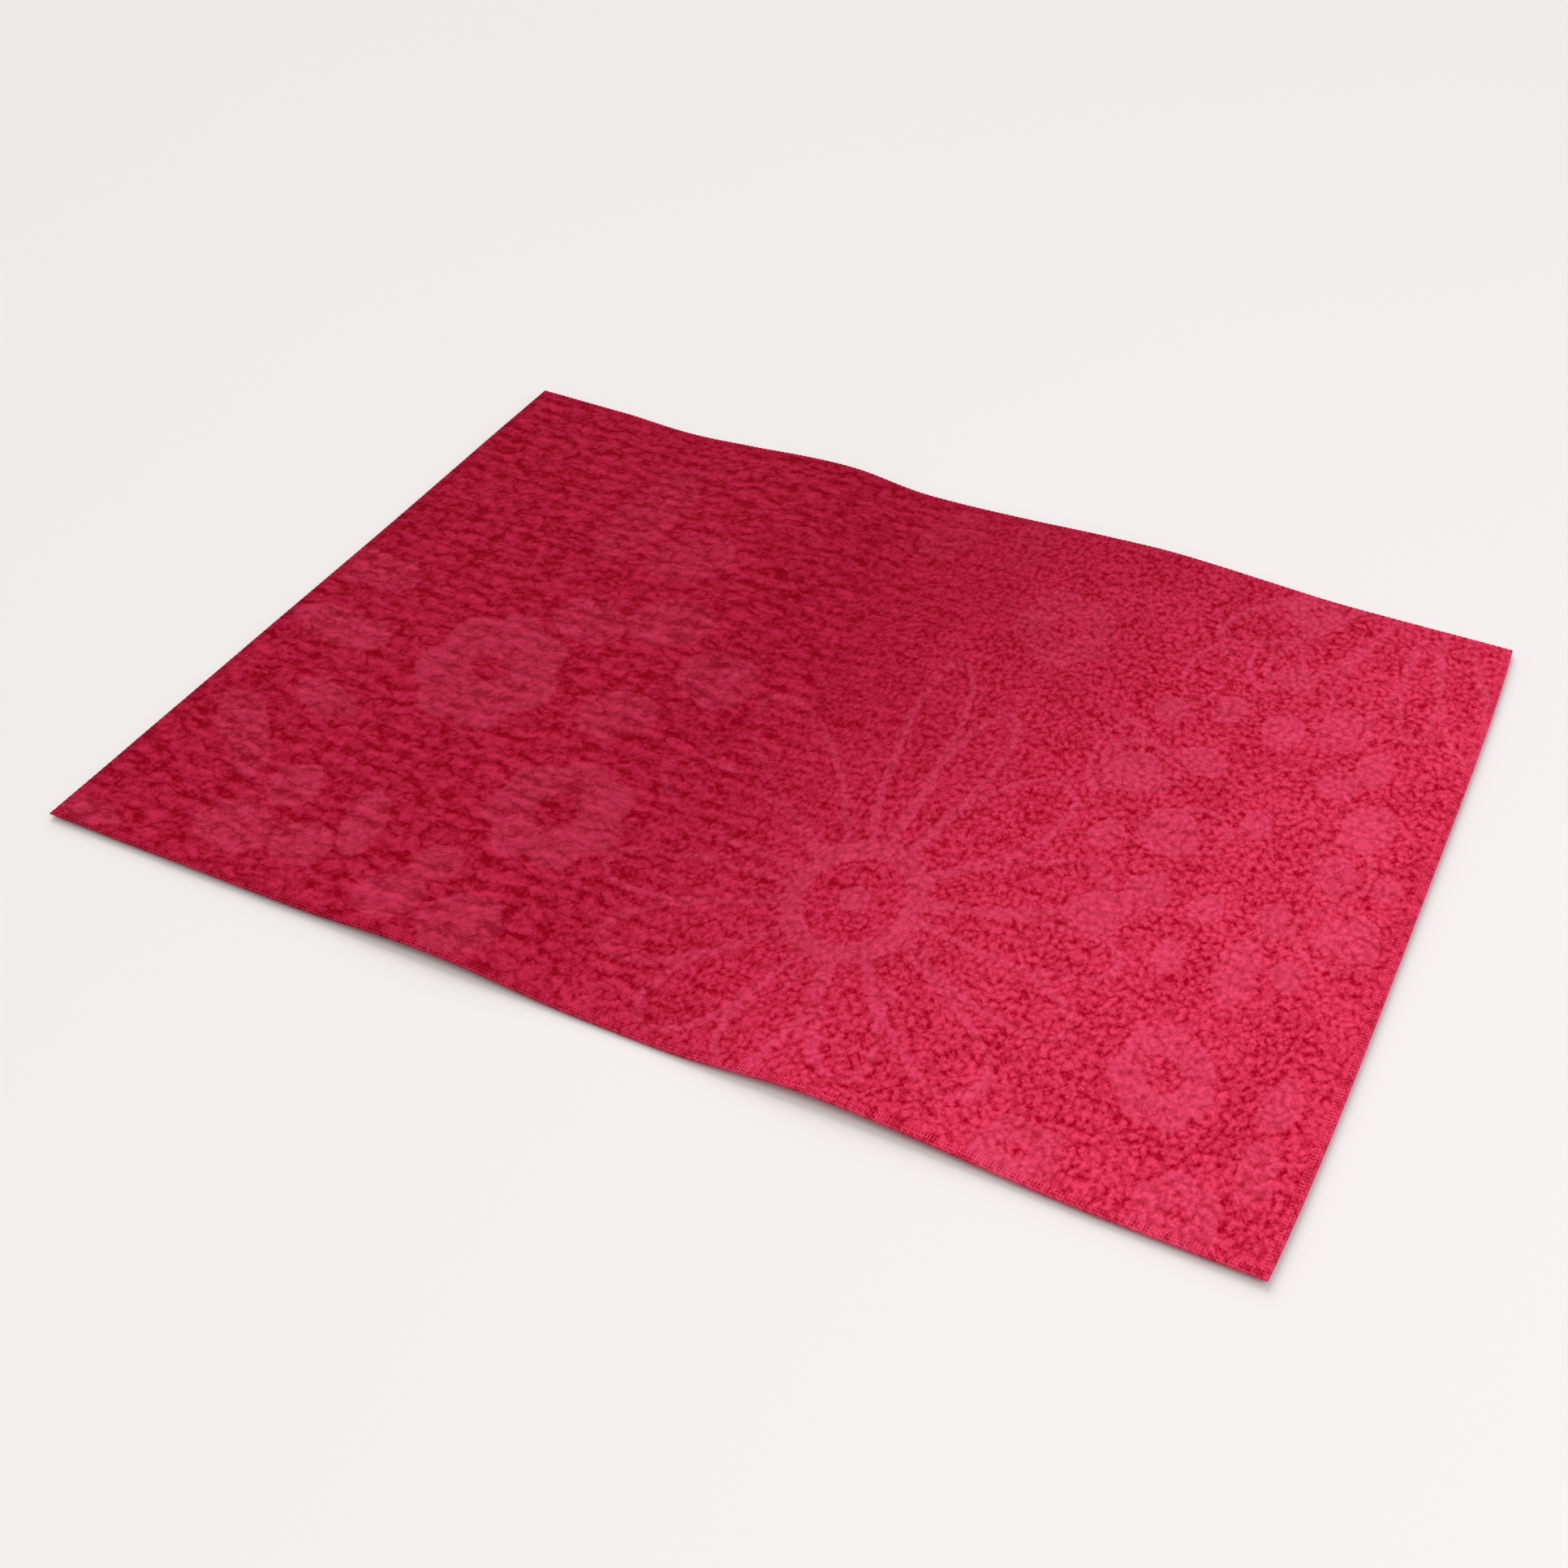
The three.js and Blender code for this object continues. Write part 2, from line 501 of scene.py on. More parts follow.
def vectors(tree, operation, *values):
    node = put(tree, "ShaderNodeVectorMath", enumerate(values), operation=operation)
    return node.outputs["Value" if operation in ("LENGTH", "DISTANCE", "DOT_PRODUCT") else "Vector"]


def split(tree, vector):
    node = put(tree, "ShaderNodeSeparateXYZ", {0: vector})
    return node.outputs[0], node.outputs[1]


def join(tree, x, y):
    return put(tree, "ShaderNodeCombineXYZ", {0: x, 1: y}).outputs[0]


def rescale(tree, value, from_low, from_high, to_low=0.0, to_high=1.0):
    """Maps a range onto another, easing in and out of it."""
    node = put(
        tree,
        "ShaderNodeMapRange",
        {0: value, 1: from_low, 2: from_high, 3: to_low, 4: to_high},
        interpolation_type="SMOOTHSTEP",
    )
    return node.outputs[0]


def blend(tree, share, low, high, way="MIX"):
    """Mixes two colours."""
    node = put(tree, "ShaderNodeMix", {0: share, 6: low, 7: high}, data_type="RGBA", blend_type=way)
    return node.outputs[2]


def cloudy(tree, place, scale, detail=2.0, roughness=0.5):
    """Soft noise round one half."""
    values = {"Vector": place, "Scale": scale, "Detail": detail, "Roughness": roughness}
    return put(tree, "ShaderNodeTexNoise", values, noise_dimensions="3D").outputs[0]


def shaken(tree, place, at, scale, reach):
    """A place moved by soft noise read at another one, by up to about half of reach along and across."""
    soft = put(tree, "ShaderNodeTexNoise", {"Vector": at, "Scale": scale, "Detail": 2.0})
    push = vectors(tree, "SUBTRACT", soft.outputs["Color"], (0.5, 0.5, 0.5))
    return vectors(tree, "ADD", place, vectors(tree, "MULTIPLY", push, (*reach, 0.0)))


def new_group(name, inputs, outputs):
    """An empty node group. inputs and outputs map a socket's name to its kind or its default number."""
    tree = bpy.data.node_groups.new(name, "ShaderNodeTree")
    for in_out, sockets in (("INPUT", inputs), ("OUTPUT", outputs)):
        for socket_name, value in sockets.items():
            kind = value if isinstance(value, str) else "Float"
            socket = tree.interface.new_socket(
                socket_name, in_out=in_out, socket_type=f"NodeSocket{kind}"
            )
            if not isinstance(value, str):
                socket.default_value = value
    came = tree.nodes.new("NodeGroupInput").outputs
    goes = tree.nodes.new("NodeGroupOutput").inputs
    return tree, came, goes


def use_group(tree, group, **values):
    """Places a group in a tree. Spaces in a socket's name are written as underscores."""
    node = tree.nodes.new("ShaderNodeGroup")
    node.node_tree = group
    for name, value in values.items():
        socket = node.inputs[name.replace("_", " ")]
        if isinstance(value, bpy.types.NodeSocket):
            tree.links.new(value, socket)
        else:
            socket.default_value = value
    return node.outputs


# %% [markdown]
# ## Plain weave
#
# In plain weave each yarn goes over one crossing yarn and under the next, so the surface is a chequer of
# little crowns with dark pits between them. An image of cloth could be laid on, but a drawn weave stays
# sharp from any distance. The group works in millimetres on the flat cloth. A sine across each yarn makes
# it round, and a sine along it makes it rise and dip. The warp is a little tighter than the weft, so its
# crowns stand prouder.

# %% The weave group
YARN_ROUND = 0.6  # below 1, a yarn's back is flatter than a sine
weave, came, goes = new_group(
    "plain_weave",
    {"Place": "Vector", "Warp Step": round(WARP_STEP / MM, 2), "Weft Step": round(WEFT_STEP / MM, 2)},
    {"Height": "Float", "Warp Crown": "Float"},
)
warp_at, weft_at = split(weave, came["Place"])
warp_at = maths(weave, "DIVIDE", warp_at, came["Warp Step"])
weft_at = maths(weave, "DIVIDE", weft_at, came["Weft Step"])
warp_wave = maths(weave, "SINE", maths(weave, "MULTIPLY", warp_at, math.pi))
weft_wave = maths(weave, "SINE", maths(weave, "MULTIPLY", weft_at, math.pi))


def crown(across, along, side):
    """A yarn's height: round across itself, and highest where it goes over the crossing yarn."""
    width = maths(weave, "POWER", maths(weave, "ABSOLUTE", across), YARN_ROUND)
    over = maths(weave, "MULTIPLY", along, maths(weave, "SIGN", across))
    return maths(weave, "MULTIPLY", width, maths(weave, "MULTIPLY_ADD", over, 0.5 * side, 0.5))


warp_crown = crown(warp_wave, weft_wave, 1)
weft_crown = crown(weft_wave, warp_wave, -1)
weave.links.new(maths(weave, "MAXIMUM", warp_crown, weft_crown), goes["Height"])
weave.links.new(warp_crown, goes["Warp Crown"])
print("weave nodes:", len(weave.nodes))

# %% [markdown]
# ## The surface of hand-dyed cotton
# Washed and hand-dyed cotton shrinks a little, and its yarns crowd into soft, uneven knuckles. On the left
# the crowding also swells into larger puffs and runs in ribs along the rows, with a thin furrow between some
# of them. One noise could mottle the cloth, but each of these marks has a size of its own, so the group adds
# them one by one: grain and pale specks from fine noise, knuckles and puffs from cell patterns, ribs from a
# noise stretched along the rows, furrows where another such noise crosses its middle value, a wandering wave
# for the rows, and broad patches of uneven dye. It gives a tone, from a pit to a crown, and a height for the
# bump. Where a mark is also in the height, its tone is painted shade where it is low and painted highlight
# where it is high, over the shading that the bump gives. The pale specks are painted glints, and the broad
# patches are uneven dye.

# %% The surface group
GRAIN = (1.25, 1.8)  # each mark's size in mm, along and across the rows
KNUCKLE = (1.8, 2.1)
PAINTED_GLINT = (0.8, 0.9)
PUFF = (3.7, 2.8)
RIB = (6.5, 3.5)
FURROW = (11.0, 5.5)
ROW = 6.2  # mm from one row to the next
ROW_WANDER = 7.0  # how far the rows stray
ROW_BEND = (11.0, 14.0)  # the size of their bends
PATCH = (13.0, 16.0)
RIBS_FROM, RIBS_TO = 45.0, -45.0  # mm: where the ribs fade in, from right to left
SWAY_SCALE, SWAY = 0.14, (2.4, 3.4)  # how the marks stray from straight rows
TONE_MIDDLE = 0.44
MARKS_MIDDLE = 0.2  # what the marks add up to on average at the right

surface, came, goes = new_group(
    "cotton_surface", {"Place": "Vector", "Depth": 1.0}, {"Tone": "Float", "Height": "Float"}
)


def noise_of_size(tree, place, size, detail, roughness=0.5):
    """Soft noise round zero whose blots have a given size in mm."""
    place = vectors(tree, "MULTIPLY", place, (1 / size[0], 1 / size[1], 1.0))
    return maths(tree, "SUBTRACT", cloudy(tree, place, 1.0, detail, roughness), 0.5)


def rounds_of_size(tree, place, size):
    """Round marks of a given size in mm, 1 in their middles and falling to 0 where they meet."""
    cells = {"Vector": vectors(tree, "MULTIPLY", place, (1 / size[0], 1 / size[1], 0.0)), "Scale": 1.0}
    cell = put(tree, "ShaderNodeTexVoronoi", cells, voronoi_dimensions="2D").outputs["Distance"]
    return rescale(tree, cell, 0.85, 0.0)


def faded(tree, value, ribbed, at_right, at_left):
    """A value times a share that goes from one number at the right to another at the left."""
    share = maths(tree, "MULTIPLY_ADD", ribbed, at_left - at_right, at_right)
    return maths(tree, "MULTIPLY", value, share)


def add_up(tree, start, *shares):
    """start plus each value times its share."""
    total = start
    for value, share in shares:
        total = maths(tree, "MULTIPLY_ADD", value, share, total)
    return total


rightward = vectors(surface, "DOT_PRODUCT", came["Place"], (1.0, 0.0, 0.0))
ribbed = rescale(surface, rightward, RIBS_FROM, RIBS_TO)
place = shaken(surface, came["Place"], came["Place"], SWAY_SCALE, SWAY)
woven = use_group(surface, weave, Place=place)
grain = faded(surface, noise_of_size(surface, place, GRAIN, 3.0, 0.62), ribbed, 1.0, 0.8)
knuckle = faded(surface, rounds_of_size(surface, place, KNUCKLE), ribbed, 1.0, 0.55)
puff = maths(surface, "SUBTRACT", rounds_of_size(surface, place, PUFF), 0.45)
puff = maths(surface, "MULTIPLY", puff, ribbed)
painted_glint = rescale(surface, noise_of_size(surface, place, PAINTED_GLINT, 1.0), 0.08, 0.2)
ribs = maths(surface, "MULTIPLY", noise_of_size(surface, place, RIB, 2.0), ribbed)
furrow = maths(surface, "ABSOLUTE", noise_of_size(surface, place, FURROW, 2.0))
furrow = maths(surface, "MULTIPLY", rescale(surface, furrow, 0.05, 0.0), ribbed)
backward = vectors(surface, "DOT_PRODUCT", place, (0, 1, 0))
bend = noise_of_size(surface, place, ROW_BEND, 1.0)
row_place = maths(surface, "MULTIPLY_ADD", bend, ROW_WANDER, backward)
row_wave = maths(surface, "SINE", maths(surface, "MULTIPLY", row_place, 2 * math.pi / ROW))
row_wave = faded(surface, row_wave, ribbed, 0.3, 1.0)
patches = noise_of_size(surface, came["Place"], PATCH, 2.0)

# %% Add the marks up: each with its share of the tone, then with its share of the height
# Painted shade and painted highlight: the marks that are also in the height darken the tone where they are
# low and lighten it where they are high. The specks are painted glints that only lighten it, and the patches
# are uneven dye.
marks = add_up(
    surface, maths(surface, "MULTIPLY_ADD", ribbed, 0.1, -MARKS_MIDDLE),
    (grain, 1.5), (knuckle, 0.36), (painted_glint, 0.24), (puff, 0.36), (ribs, 0.9),
    (furrow, -0.3), (row_wave, 0.12), (woven["Warp Crown"], 0.1), (patches, 0.35),
)
strength = faded(surface, came["Depth"], ribbed, 1.65, 1.35)
tone = maths(surface, "MULTIPLY_ADD", marks, strength, TONE_MIDDLE, clamp=True)
surface.links.new(tone, goes["Tone"])
height = add_up(
    surface, 0.0,
    (grain, 1.3), (knuckle, 0.7), (puff, 1.0), (ribs, 0.9),
    (furrow, -0.5), (row_wave, 0.6), (woven["Height"], 0.4),
)
surface.links.new(height, goes["Height"])
print("surface nodes:", len(surface.nodes))

# %% [markdown]
# ## Printed shapes
#
# The print is made of a few simple shapes: solid flowers with lobed rims and a dark eye, ovals for berries
# and leaves, and daisies drawn in line. Each shape is a group that turns a place on the cloth into a mask,
# 1 on the shape and 0 off it, so it can be set down many times at other places, sizes and angles. The rims
# are soft, because dye creeps along the yarns.

# %% The shape groups
OVAL_RIM = (1.07, 0.93)  # where an oval's mask is 0 and where it is 1, as shares of its size
RING_RIM = (1.0, 0.15)
FLOWER_RIM = (0.05, -0.04)
LOBE_LOW, LOBE_HIGH = 0.86, 0.17  # a flower's size between two lobes, and what a lobe adds
EDGING_IN, EDGING = 0.07, (0.09, 0.02)  # the paler band just inside a flower's rim
EYE_RIM = (-0.06, 0.06)
SHAPE_INPUTS = {
    "Place": "Vector", "Centre": "Vector", "Along": "Vector", "Across": "Vector", "Strength": 1.0,
}


def shape_axes(turn, size=(1, 1)):
    """The two directions of a turned shape, each divided by the shape's size that way. turn is in degrees."""
    cosine, sine = math.cos(math.radians(turn)), math.sin(math.radians(turn))
    along = (cosine / size[0], sine / size[0], 0)
    across = (-sine / size[1], cosine / size[1], 0)
    return {"Along": along, "Across": across}


def own_place(tree, came):
    """The place measured from the shape's own centre along its two directions."""
    offset = vectors(tree, "SUBTRACT", came["Place"], came["Centre"])
    along = vectors(tree, "DOT_PRODUCT", offset, came["Along"])
    return along, vectors(tree, "DOT_PRODUCT", offset, came["Across"])


oval, came, goes = new_group("printed_oval", SHAPE_INPUTS, {"Mask": "Float"})
distance = vectors(oval, "LENGTH", join(oval, *own_place(oval, came)))
mask = rescale(oval, distance, *OVAL_RIM)
oval.links.new(maths(oval, "MULTIPLY", mask, came["Strength"]), goes["Mask"])

ring, came, goes = new_group("printed_ring", {**SHAPE_INPUTS, "Line": 0.16}, {"Mask": "Float"})
distance = vectors(ring, "LENGTH", join(ring, *own_place(ring, came)))
off_line = maths(ring, "ABSOLUTE", maths(ring, "SUBTRACT", distance, 1.0))
off_line = maths(ring, "DIVIDE", off_line, came["Line"])
mask = rescale(ring, off_line, *RING_RIM)
ring.links.new(maths(ring, "MULTIPLY", mask, came["Strength"]), goes["Mask"])

flower, came, goes = new_group(
    "printed_flower", {**SHAPE_INPUTS, "Petals": 7.0, "Eye": 0.26}, {"Mask": "Float"}
)
x, y = own_place(flower, came)
distance = vectors(flower, "LENGTH", join(flower, x, y))
half_petals = maths(flower, "MULTIPLY", came["Petals"], 0.5)
lobe = maths(flower, "SINE", maths(flower, "MULTIPLY", maths(flower, "ARCTAN2", y, x), half_petals))
rim = maths(flower, "MULTIPLY_ADD", maths(flower, "ABSOLUTE", lobe), LOBE_HIGH, LOBE_LOW)
from_rim = maths(flower, "SUBTRACT", maths(flower, "DIVIDE", distance, rim), 1.0)
mask = rescale(flower, from_rim, *FLOWER_RIM)
off_edging = maths(flower, "ABSOLUTE", maths(flower, "ADD", from_rim, EDGING_IN))
edging = rescale(flower, off_edging, *EDGING)
eye_hole = rescale(flower, maths(flower, "SUBTRACT", distance, came["Eye"]), *EYE_RIM)
mask = maths(flower, "MULTIPLY", mask, eye_hole)
mask = maths(flower, "MULTIPLY", mask, maths(flower, "MULTIPLY_ADD", edging, 0.35, 0.9))
flower.links.new(maths(flower, "MULTIPLY", mask, came["Strength"]), goes["Mask"])
print("shape groups:", oval.name, ring.name, flower.name)

# %% [markdown]
# ## A petal in line
#
# A daisy petal is drawn as the outline of an egg, from the daisy's eye to the petal's tip. An ellipse
# stretched into that shape would have a line that is thin at its sides and thick at its ends. So the group
# divides by how fast the shape's value changes, and the line stays as wide everywhere, in millimetres.

# %% The petal group
EGG_MIDDLE, EGG_FLARE = 0.92, 0.4  # a petal's width at its middle, and what it gains towards its tip
LINE_RIM = (1.45, 0.3)
petal, came, goes = new_group(
    "line_petal",
    {**SHAPE_INPUTS, "Inner": 15.0, "Reach": 60.0, "Half Width": 8.0, "Line": 1.0},
    {"Mask": "Float"},
)
x, y = own_place(petal, came)
half_length = maths(petal, "MULTIPLY", maths(petal, "SUBTRACT", came["Reach"], came["Inner"]), 0.5)
middle = maths(petal, "ADD", came["Inner"], half_length)
along = maths(petal, "DIVIDE", maths(petal, "SUBTRACT", x, middle), half_length)
egg = maths(petal, "MULTIPLY_ADD", along, EGG_FLARE, EGG_MIDDLE)
half_width = maths(petal, "MULTIPLY", came["Half Width"], egg)
across = maths(petal, "DIVIDE", y, half_width)
shape = vectors(petal, "LENGTH", join(petal, along, across))
slope_along = maths(petal, "DIVIDE", along, half_length)
slope_across = maths(petal, "DIVIDE", across, half_width)
slope = maths(petal, "DIVIDE", vectors(petal, "LENGTH", join(petal, slope_along, slope_across)), shape)
off_line = maths(petal, "ABSOLUTE", maths(petal, "SUBTRACT", shape, 1.0))
off_line = maths(petal, "DIVIDE", maths(petal, "DIVIDE", off_line, slope), came["Line"])
mask = rescale(petal, off_line, *LINE_RIM)
petal.links.new(maths(petal, "MULTIPLY", mask, came["Strength"]), goes["Mask"])
print("petal nodes:", len(petal.nodes))

# %% [markdown]
# ## The print
#
# The print sets the shapes down on the cloth, in millimetres from its middle: the large daisy right of the
# middle, lobed flowers on both sides of it, leaves at the front left, and a scatter of berries at the
# right. Some shapes took less dye than others, which is their strength. The place is first bent by a slow
# noise, so that no shape is as regular as its formula. Solid shapes are bent once more by a finer noise,
# which feathers their rims, and took the dye unevenly. The daisy's lines fade towards the left and are
# worn in places.

# %% The shapes on the cloth
FLOWERS = (  # centre x, y, half width, half height, petals, eye, strength
    (-89, -16, 20, 25, 7, 0.24, 1.0),
    (-42, -59, 18, 19, 7, 0.3, 1.0),
    (117, -73, 10.5, 15, 7, 0.32, 1.0),
    (97, -107, 10, 9, 5, 0.22, 0.9),
    (131, -107, 9, 11, 6, 0.24, 0.9),
    (42, 68, 13, 18, 5, 0.3, 0.5),
    (101, 106, 9, 8, 6, 0.25, 0.9),
)
OVALS = (  # centre x, y, half length, half width, turn in degrees, strength
    (-88, 68, 29, 9, 88, 0.4),
    (-66, 52, 13, 11, 40, 0.45),
    (-4, 98, 14, 8, 85, 0.35),
    (18, 102, 12, 5, 90, 0.3),
    (-55, 22, 12, 11, 20, 0.7),
    (-76, 14, 12, 9, -30, 0.7),
    (-32, 6, 12, 11, 60, 0.6),
    (-48, -19, 11, 10, 30, 0.6),
    (-142, 8, 14, 8, -5, 0.5),
    (-136, -18, 16, 7, -4, 0.8),
    (-120, -46, 11, 6, -15, 0.8),
    (-131, -67, 19, 6, -45, 0.7),
    (-106, -78, 7, 8, 0, 0.8),
    (-83, -82, 13, 5.5, -70, 0.9),
    (-58, -87, 6.5, 7, 0, 0.9),
    (-110, -97, 11, 9, -20, 0.8),
    (-92, -96, 8, 8, 0, 0.8),
    (-62, -102, 9, 8, 40, 0.9),
    (-42, -103, 10, 10, 60, 0.9),
    (-145, -109, 9, 4, 0, 0.8),
    (141, -70, 8, 4, 88, 0.8),
    (142, -90, 9, 4, 94, 0.8),
)
BERRIES = (  # centre x, y, half width, half height
    (103, 75, 5, 6.5),
    (119, 62, 5, 8),
    (106, 53, 5, 7),
    (131, 49, 4.5, 7.5),
    (92, 55, 4.5, 6),
    (78, 47, 4, 6),
    (124, 39, 5, 7),
    (92, 32, 6, 6),
    (135, 26, 6, 9),
    (79, 20, 7, 7),
    (111, 15, 3.5, 5),
    (93, 2, 7.5, 9),
    (132, 6, 5, 8),
    (144, 5, 3.5, 4.5),
    (80, -6, 4, 6),
    (95, -22, 5.5, 8.5),
    (109, -20, 4, 6.5),
    (124, -16, 4, 7),
    (140, -16, 7, 7),
    (87, -33, 6.5, 8),
    (106, -38, 4, 6),
    (121, -35, 4.5, 11),
    (132, -32, 4, 5),
)
BERRY_RINGS = (  # centre x, y, half width, half height
    (82, 67, 5, 13),
    (97, 80, 6.5, 12),
    (119, 64, 7, 11),
    (79, 22, 9, 10),
    (99, 6, 7, 8),
    (133, 8, 7, 11),
    (72, 24, 5, 14),
    (138, -16, 9, 10),
)

# %% The daisies
DAISY = (36, -54)
DAISY_EYE = (13.8, 19.0)
DAISY_DOT = (3.6, 4.6)
DAISY_PETALS = (  # direction in degrees, reach, half width
    (98, 97, 6.5),
    (85, 80, 6),
    (63, 67, 10),
    (34, 60, 9),
    (7, 62, 8),
    (-16, 60, 8),
    (-44, 64, 9),
    (-69, 58, 7),
    (-93, 60, 6.5),
    (-115, 62, 9),
    (-141, 60, 9),
    (-166, 60, 8),
    (157, 68, 10),
    (130, 80, 9),
)
EDGE_DAISY = (130, 140)
EDGE_PETALS = ((-132, 74, 7), (-116, 74, 7), (-99, 78, 7), (-86, 77, 5), (-75, 82, 6), (-60, 78, 7))

# %% Set them down
CREEP_SCALE, CREEP = 0.05, (4.4, 5.4)  # how the dye bends every shape
FEATHER_SCALE, FEATHER = 0.24, (2.5, 2.9)  # how it frays the rim of a solid one
WORN_SCALE, UNEVEN_SCALE = 0.05, 0.11  # how coarsely lines are worn and solid shapes take the dye
FADE_FROM, FADE_TO = -70.0, 10.0  # mm right of the daisy: where its petals grow to full strength
floral, came, goes = new_group("floral_print", {"Place": "Vector"}, {"Solid": "Float", "Line": "Float"})
place = shaken(floral, came["Place"], came["Place"], CREEP_SCALE, CREEP)
feathered = shaken(floral, place, came["Place"], FEATHER_SCALE, FEATHER)


def set_down(shape, total, centre, turn=0, size=(1, 1), **values):
    """Adds one shape to a mask. turn is in degrees. Lines keep a smooth rim, and the rest a feathered one."""
    at = place if shape in (petal, ring) else feathered
    values.update({"Place": at, "Centre": (*centre, 0), **shape_axes(turn, size)})
    return maths(floral, "MAXIMUM", use_group(floral, shape, **values)[0], total)


FLOWER_TURN = 17
PETALS_FROM, EDGE_PETALS_FROM = 13.0, 15.0  # mm from a daisy's middle to where its petals start
solid_mask, line_mask, petal_mask = 0.0, 0.0, 0.0
for x, y, wide, high, petals, eye_size, strength in FLOWERS:
    solid_mask = set_down(
        flower, solid_mask, (x, y), FLOWER_TURN, (wide, high),
        Petals=petals, Eye=eye_size, Strength=strength,
    )
for x, y, long, wide, turn, strength in OVALS:
    solid_mask = set_down(oval, solid_mask, (x, y), turn, (long, wide), Strength=strength)
for x, y, wide, high in BERRIES:
    solid_mask = set_down(oval, solid_mask, (x, y), 0, (wide, high))
solid_mask = set_down(oval, solid_mask, DAISY, 0, DAISY_DOT)
for x, y, wide, high in BERRY_RINGS:
    line_mask = set_down(ring, line_mask, (x, y), 0, (wide, high))
for centre, petals, inner in (
    (DAISY, DAISY_PETALS, PETALS_FROM), (EDGE_DAISY, EDGE_PETALS, EDGE_PETALS_FROM)
):
    for turn, reach, half_width in petals:
        petal_mask = set_down(
            petal, petal_mask, centre, turn, Inner=inner, Reach=reach, Half_Width=half_width
        )
from_daisy = vectors(floral, "SUBTRACT", place, (*DAISY, 0))
from_eye = vectors(floral, "MULTIPLY", from_daisy, (1 / DAISY_EYE[0], 1 / DAISY_EYE[1], 0))
eye_distance = vectors(floral, "LENGTH", from_eye)
petal_mask = maths(floral, "MULTIPLY", petal_mask, rescale(floral, eye_distance, 0.9, 1.05))
rightward = vectors(floral, "DOT_PRODUCT", from_daisy, (1.0, 0.0, 0.0))
petal_mask = maths(floral, "MULTIPLY", petal_mask, rescale(floral, rightward, FADE_FROM, FADE_TO, 0.4, 1.0))
off_ring = maths(floral, "ABSOLUTE", maths(floral, "SUBTRACT", eye_distance, 1.0))
eye_ring = rescale(floral, off_ring, 0.24, 0.1)
worn = rescale(floral, cloudy(floral, place, WORN_SCALE), 0.4, 0.55, 0.5, 1.0)
line_mask = maths(floral, "MAXIMUM", maths(floral, "MULTIPLY", line_mask, 0.8), petal_mask)
line_mask = maths(floral, "MULTIPLY", line_mask, worn)
line_mask = maths(floral, "MAXIMUM", line_mask, maths(floral, "MULTIPLY", eye_ring, 0.8))
uneven = rescale(floral, cloudy(floral, feathered, UNEVEN_SCALE), 0.38, 0.62, 0.75, 1.2)
floral.links.new(maths(floral, "MULTIPLY", solid_mask, uneven), goes["Solid"])
floral.links.new(line_mask, goes["Line"])
print("print nodes:", len(floral.nodes))

# %% [markdown]
# ## The dye, with painted light and shade
#
# Hand-dyed cotton is never one red. This cut goes from deep crimson on the left to bright raspberry on the
# right, and the change runs slantwise across it. Part of that change is the dye, which took unevenly as the
# cloth lay in it. Part of it is painted light and shade: the back left is painted darker as shade, and the
# right and the front are painted brighter as light. The whole colour of the cloth is one group: that
# painted share picks a pit colour and a crown colour, the surface's tone goes from one to the other, and
# the print adds a little pink. The sheet and its yarns both use it, so they match where they meet.

# %% The dye group, with painted light and shade
# A pit's colour is darker than its crown's: painted shade in the weave's hollows, on top of the bump's own
# shading.
PIT_DEEP = (0.27, 0.0, 0.009, 1)
CROWN_DEEP = (0.52, 0.014, 0.058, 1)
PIT_BRIGHT = (0.42, 0.0, 0.017, 1)
CROWN_BRIGHT = (0.88, 0.05, 0.135, 1)
PINK_DEEP = (0.048, 0.012, 0.025, 1)
PINK_BRIGHT = (0.046, 0.017, 0.029, 1)
BLACK = (0, 0, 0, 1)
DYE_AND_LIGHT_WAY = (1.0, -0.22, 0.0)  # the way the colour brightens: partly the dye, partly painted light
DYE_AND_LIGHT_FROM, DYE_AND_LIGHT_TO = -40.0, 145.0  # mm that way, from the deep red to the bright one
DRIFT_SCALE, DRIFT = 0.025, 36.0  # how far noise moves that stretch, in mm
FRONT_FROM, FRONT_TO, FRONT_LIGHT_SHARE = -60.0, 115.0, 0.11  # mm towards the front, and how much painted light brightens it

dyed, came, goes = new_group(
    "dye_with_painted_light_and_shade",
    {"Place": "Vector", "Marks": 1.0, "Lift": 0.0},
    {"Color": "Color", "Height": "Float", "Tone": "Float"},
)
# The slantwise share is partly uneven dye and partly painted light and shade. It is painted darker at the
# back left as shade and brighter at the right and the front as light.
slant = vectors(dyed, "DOT_PRODUCT", came["Place"], DYE_AND_LIGHT_WAY)
drift = maths(dyed, "MULTIPLY_ADD", cloudy(dyed, came["Place"], DRIFT_SCALE), DRIFT, -0.5 * DRIFT)
share = rescale(dyed, maths(dyed, "ADD", slant, drift), DYE_AND_LIGHT_FROM, DYE_AND_LIGHT_TO)
frontward = vectors(dyed, "DOT_PRODUCT", came["Place"], (0.0, -1.0, 0.0))
front = rescale(dyed, frontward, FRONT_FROM, FRONT_TO, 0.0, FRONT_LIGHT_SHARE)
share = maths(dyed, "ADD", share, front, clamp=True)
printed = use_group(dyed, floral, Place=came["Place"])
inked = maths(dyed, "MAXIMUM", printed["Solid"], printed["Line"])
evened = maths(dyed, "MULTIPLY", inked, maths(dyed, "MULTIPLY_ADD", share, -0.1, -0.18))
depth = maths(dyed, "MULTIPLY", maths(dyed, "ADD", evened, 1.0), came["Marks"])
face = use_group(dyed, surface, Place=came["Place"], Depth=depth)
